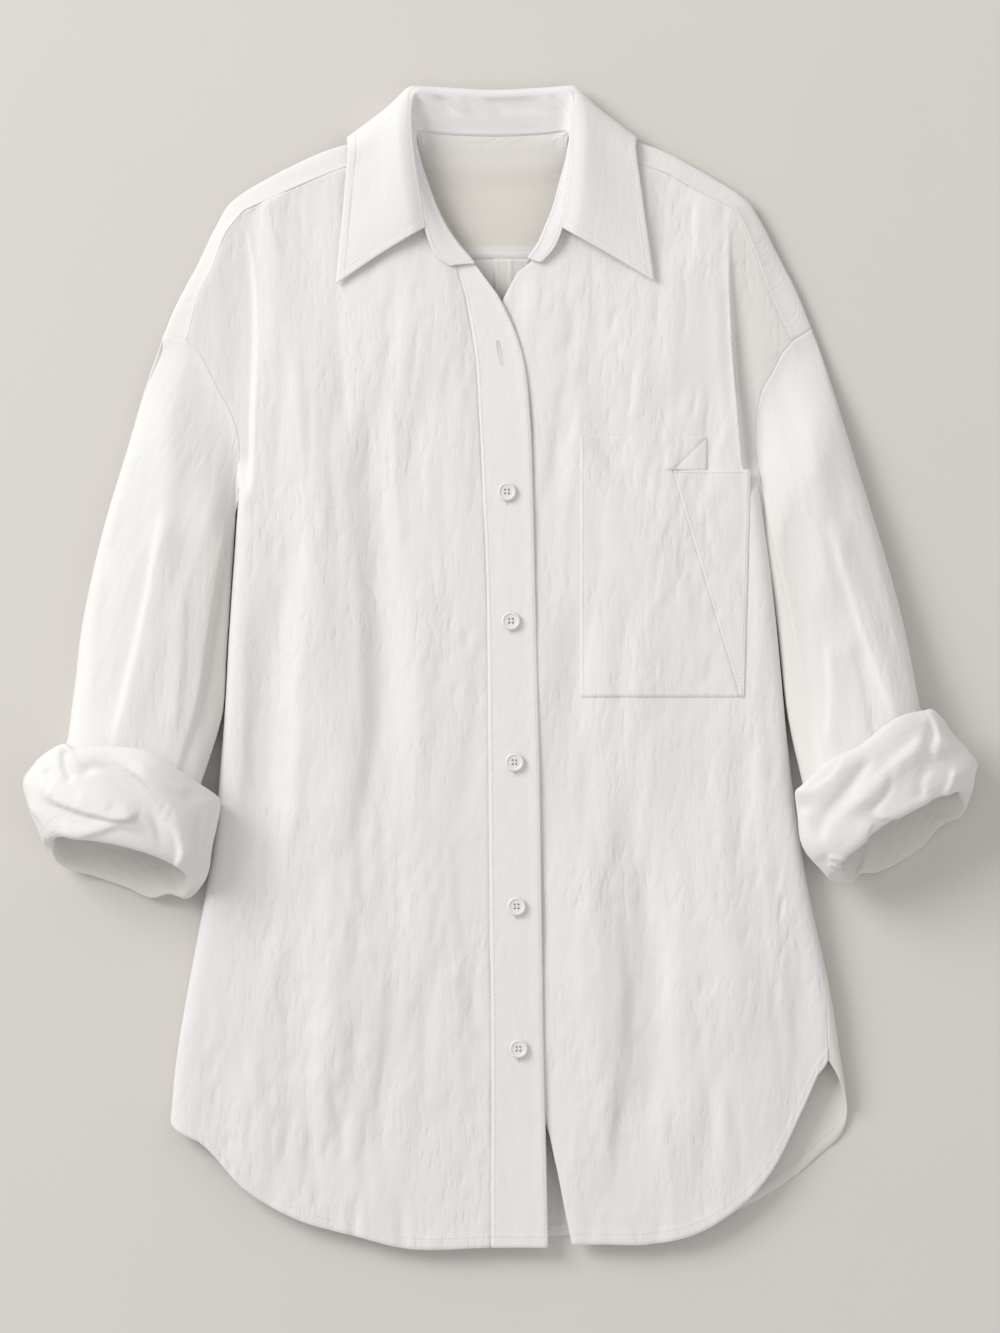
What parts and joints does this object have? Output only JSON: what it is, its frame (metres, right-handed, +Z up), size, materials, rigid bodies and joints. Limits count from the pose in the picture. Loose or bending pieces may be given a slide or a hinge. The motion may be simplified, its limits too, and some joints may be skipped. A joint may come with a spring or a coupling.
{
  "type": "crumpled button-down shirt laid flat",
  "caption": "Oversized long-sleeved shirt of crinkled white cotton laid flat on its back, open collar, rolled sleeves, curved hem and a patch pocket.",
  "frame": {"origin": "on the surface the shirt lies on, under the middle of its box", "axes": "+X to the wearer's left, +Y from the hem to the collar, +Z up through the buttoned front"},
  "size_m": [0.6453, 0.7891, 0.0654],
  "materials": {
    "cotton_front": "crinkled plain-weave cotton, matt",
    "cotton_back": "crinkled plain-weave cotton, matt, inner side",
    "cotton_sleeve": "crinkled plain-weave cotton, matt",
    "cotton_band": "pressed and stitched plain-weave cotton, matt",
    "button": "satin white resin"
  },
  "bodies": {
    "root": {"back": "cotton_back", "yoke": "cotton_back", "front_right": "cotton_front", "front_left": "cotton_front", "placket_over": "cotton_band", "placket_under": "cotton_band", "collar_stand": "cotton_band", "collar_leaf": "cotton_band", "sleeve_right": "cotton_sleeve", "sleeve_left": "cotton_sleeve", "cuff_roll_right": "cotton_sleeve", "cuff_roll_left": "cotton_sleeve", "pocket_main": "cotton_front", "pocket_side": "cotton_front", "button_1": "button", "button_2": "button", "button_3": "button", "button_4": "button", "button_5": "button"}
  },
  "joints": []
}
